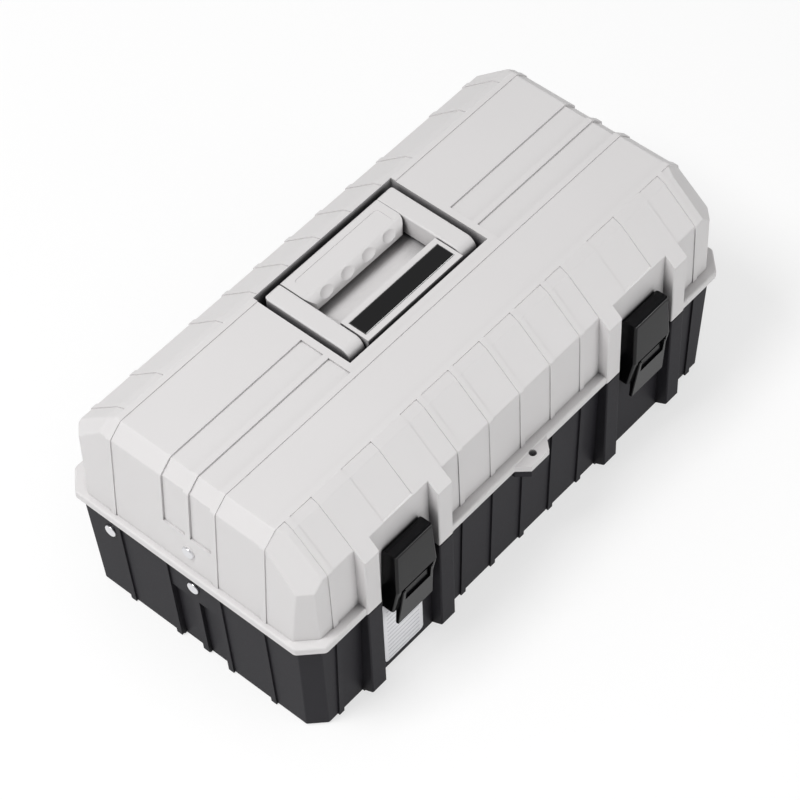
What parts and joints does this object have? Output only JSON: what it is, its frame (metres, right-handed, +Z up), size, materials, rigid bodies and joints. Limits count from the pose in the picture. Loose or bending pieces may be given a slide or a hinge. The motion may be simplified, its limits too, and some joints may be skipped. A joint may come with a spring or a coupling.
{
  "type": "folding toolbox",
  "caption": "Rectangular toolbox with a faceted ribbed lid, front latches, a fold-down carry handle and stepped trays that swing up on arms as the lid opens.",
  "frame": {"origin": "middle of the base's underside", "axes": "+X along the box to the right of someone facing the latches, latches face -Y, +Z up"},
  "size_m": [0.43, 0.2386, 0.1871],
  "materials": {
    "lid_plastic": "fine matt texture",
    "base_plastic": "fine matt texture",
    "tray_plastic": "matt",
    "latch_plastic": "satin",
    "plate_gloss": "glossy",
    "label_film": "paper-faced film",
    "rivet_steel": "bright plated",
    "arm_steel": "rolled strip",
    "pin_steel": "drawn wire"
  },
  "bodies": {
    "base": {"base_box": "base_plastic", "base_rivets": "rivet_steel", "base_washers": "rivet_steel", "hinge_pin_left": "pin_steel", "hinge_pin_right": "pin_steel", "paper_label": "label_film"},
    "lid": {"lid_shell": "lid_plastic", "handle_well": "lid_plastic", "lid_rivets": "rivet_steel", "latch_pin_left": "pin_steel", "latch_pin_right": "pin_steel", "handle_pin_left": "pin_steel", "handle_pin_right": "pin_steel", "name_plate": "plate_gloss"},
    "lower_tray": {"lower_tray": "tray_plastic", "lower_tray_rivets": "rivet_steel", "lower_tray_long_divider": "tray_plastic", "lower_tray_divider_1": "tray_plastic", "lower_tray_divider_2": "tray_plastic"},
    "upper_tray": {"upper_tray": "tray_plastic", "upper_tray_rivets": "rivet_steel", "upper_tray_long_divider": "tray_plastic", "upper_tray_divider_1": "tray_plastic", "upper_tray_divider_2": "tray_plastic", "upper_tray_divider_3": "tray_plastic", "upper_tray_divider_4": "tray_plastic", "upper_tray_divider_5": "tray_plastic"},
    "rear_arm_left": {"rear_arm_left": "arm_steel"},
    "rear_arm_right": {"rear_arm_right": "arm_steel"},
    "front_arm_left": {"front_arm_left": "arm_steel"},
    "front_arm_right": {"front_arm_right": "arm_steel"},
    "latch_left": {"latch_left": "latch_plastic"},
    "latch_right": {"latch_right": "latch_plastic"},
    "handle": {"handle_frame": "lid_plastic", "handle_grip": "lid_plastic"}
  },
  "joints": [
    {"name": "lid_hinge", "type": "hinge", "parent": "base", "child": "lid", "pos_m": [0, 0.114, 0.0873], "axis": [-1, 0, 0], "range_deg": [0, 96]},
    {"name": "rear_arm_left_swing", "type": "hinge", "parent": "base", "child": "rear_arm_left", "pos_m": [-0.20366, 0.072, 0.0764], "axis": [-1, 0, 0], "range_deg": [0, 96]},
    {"name": "front_arm_left_swing", "type": "hinge", "parent": "base", "child": "front_arm_left", "pos_m": [-0.20366, -0.0027, 0.0795], "axis": [-1, 0, 0], "range_deg": [0, 96]},
    {"name": "rear_arm_right_swing", "type": "hinge", "parent": "base", "child": "rear_arm_right", "pos_m": [0.20366, 0.072, 0.0764], "axis": [-1, 0, 0], "range_deg": [0, 96]},
    {"name": "front_arm_right_swing", "type": "hinge", "parent": "base", "child": "front_arm_right", "pos_m": [0.20366, -0.0027, 0.0795], "axis": [-1, 0, 0], "range_deg": [0, 96]},
    {"name": "lower_tray_level", "type": "hinge", "parent": "rear_arm_left", "child": "lower_tray", "pos_m": [-0.20366, 0.01365, 0.0921], "axis": [-1, 0, 0], "range_deg": [-96, 0]},
    {"name": "upper_tray_level", "type": "hinge", "parent": "rear_arm_left", "child": "upper_tray", "pos_m": [-0.20366, -0.0447, 0.1078], "axis": [-1, 0, 0], "range_deg": [-96, 0]},
    {"name": "latch_left_swing", "type": "hinge", "parent": "lid", "child": "latch_left", "pos_m": [-0.121, -0.1084, 0.1317], "axis": [-1, 0, 0], "range_deg": [0, 90]},
    {"name": "latch_right_swing", "type": "hinge", "parent": "lid", "child": "latch_right", "pos_m": [0.121, -0.1084, 0.1317], "axis": [-1, 0, 0], "range_deg": [0, 90]},
    {"name": "handle_fold", "type": "hinge", "parent": "lid", "child": "handle", "pos_m": [0, -0.0045, 0.1781], "axis": [1, 0, 0], "range_deg": [0, 90]}
  ],
  "couplings": [
    {"joint": "rear_arm_left_swing", "follows": "lid_hinge", "ratio": 1},
    {"joint": "front_arm_left_swing", "follows": "lid_hinge", "ratio": 1},
    {"joint": "rear_arm_right_swing", "follows": "lid_hinge", "ratio": 1},
    {"joint": "front_arm_right_swing", "follows": "lid_hinge", "ratio": 1},
    {"joint": "lower_tray_level", "follows": "lid_hinge", "ratio": -1},
    {"joint": "upper_tray_level", "follows": "lid_hinge", "ratio": -1}
  ]
}
